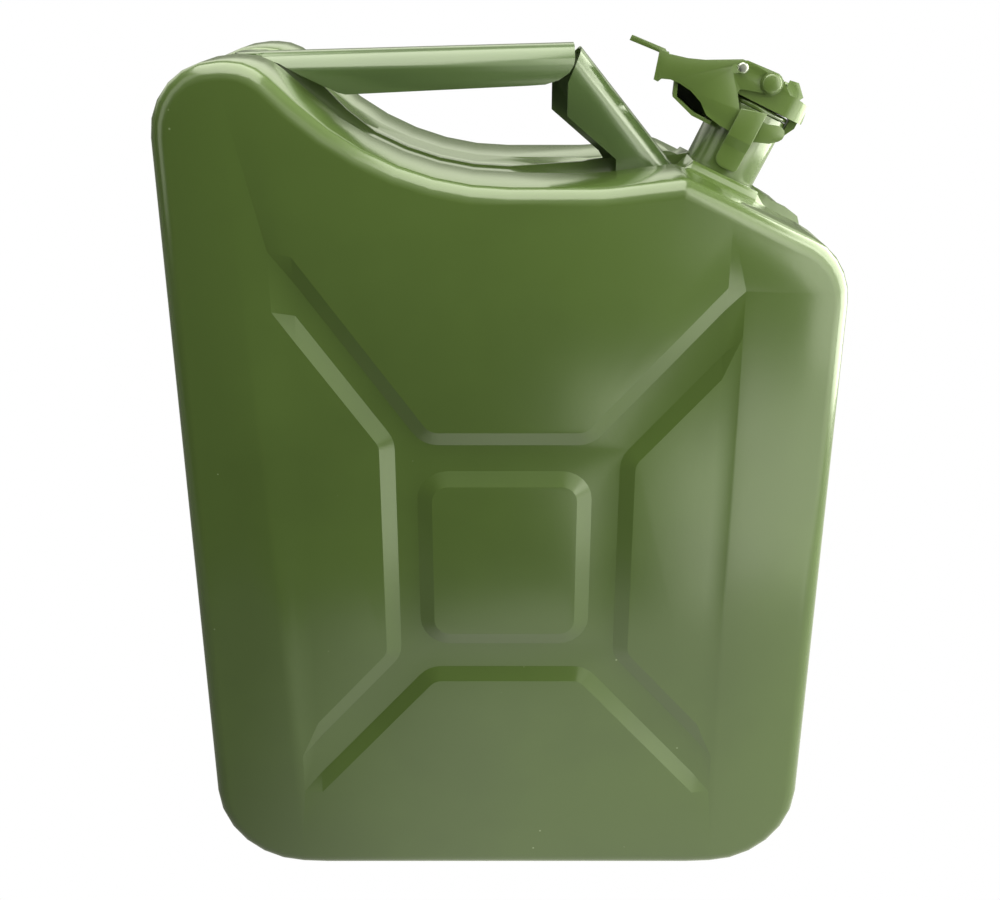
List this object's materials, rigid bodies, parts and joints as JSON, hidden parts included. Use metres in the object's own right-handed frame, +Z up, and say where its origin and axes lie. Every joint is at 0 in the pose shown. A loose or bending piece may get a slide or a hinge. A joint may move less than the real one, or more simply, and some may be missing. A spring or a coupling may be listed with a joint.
{
  "type": "metal jerry can",
  "caption": "Pressed-steel fuel can with an olive enamel finish, a folded carrying handle and a hinged lid with a locking lever.",
  "frame": {"origin": "centre of the footprint on the floor", "axes": "+Z up, +X from the crest towards the spout, -Y out of the front face"},
  "size_m": [0.348, 0.165, 0.4777],
  "materials": {
    "enamel": "glossy olive enamel",
    "zinc": "bright zinc plate",
    "rubber": "matt black rubber"
  },
  "bodies": {
    "can": {"front_shell": "enamel", "rear_shell": "enamel", "carry_handle": "enamel", "filler_neck": "enamel", "mouth_ring": "enamel", "breather_pipe": "zinc", "front_catch_strap": "enamel", "rear_catch_strap": "enamel", "hinge_bracket": "enamel", "hinge_pin": "zinc"},
    "lid": {"lid_gasket": "rubber", "lid_cap": "enamel", "lid_carrier": "enamel", "left_lid_rivet": "enamel", "right_lid_rivet": "enamel", "lever_pivot": "enamel", "front_pivot_washer": "enamel", "rear_pivot_washer": "enamel"},
    "lever": {"locking_lever": "enamel"},
    "pin": {"safety_pin": "zinc"}
  },
  "joints": [
    {"name": "lid_hinge", "type": "hinge", "parent": "can", "child": "lid", "pos_m": [0.15441, -0.00301, 0.43806], "axis": [0.1261, 0.9903, -0.0588], "range_deg": [0, 95]},
    {"name": "lever_pivot_joint", "type": "hinge", "parent": "lid", "child": "lever", "pos_m": [0.13954, -0.00021, 0.45327], "axis": [0.1261, 0.9903, -0.0588], "range_deg": [0, 95]},
    {"name": "safety_pin_slide", "type": "slide", "parent": "lever", "child": "pin", "axis": [-0.9886, 0.1205, -0.0907], "range_m": [0, 0.0034]}
  ]
}
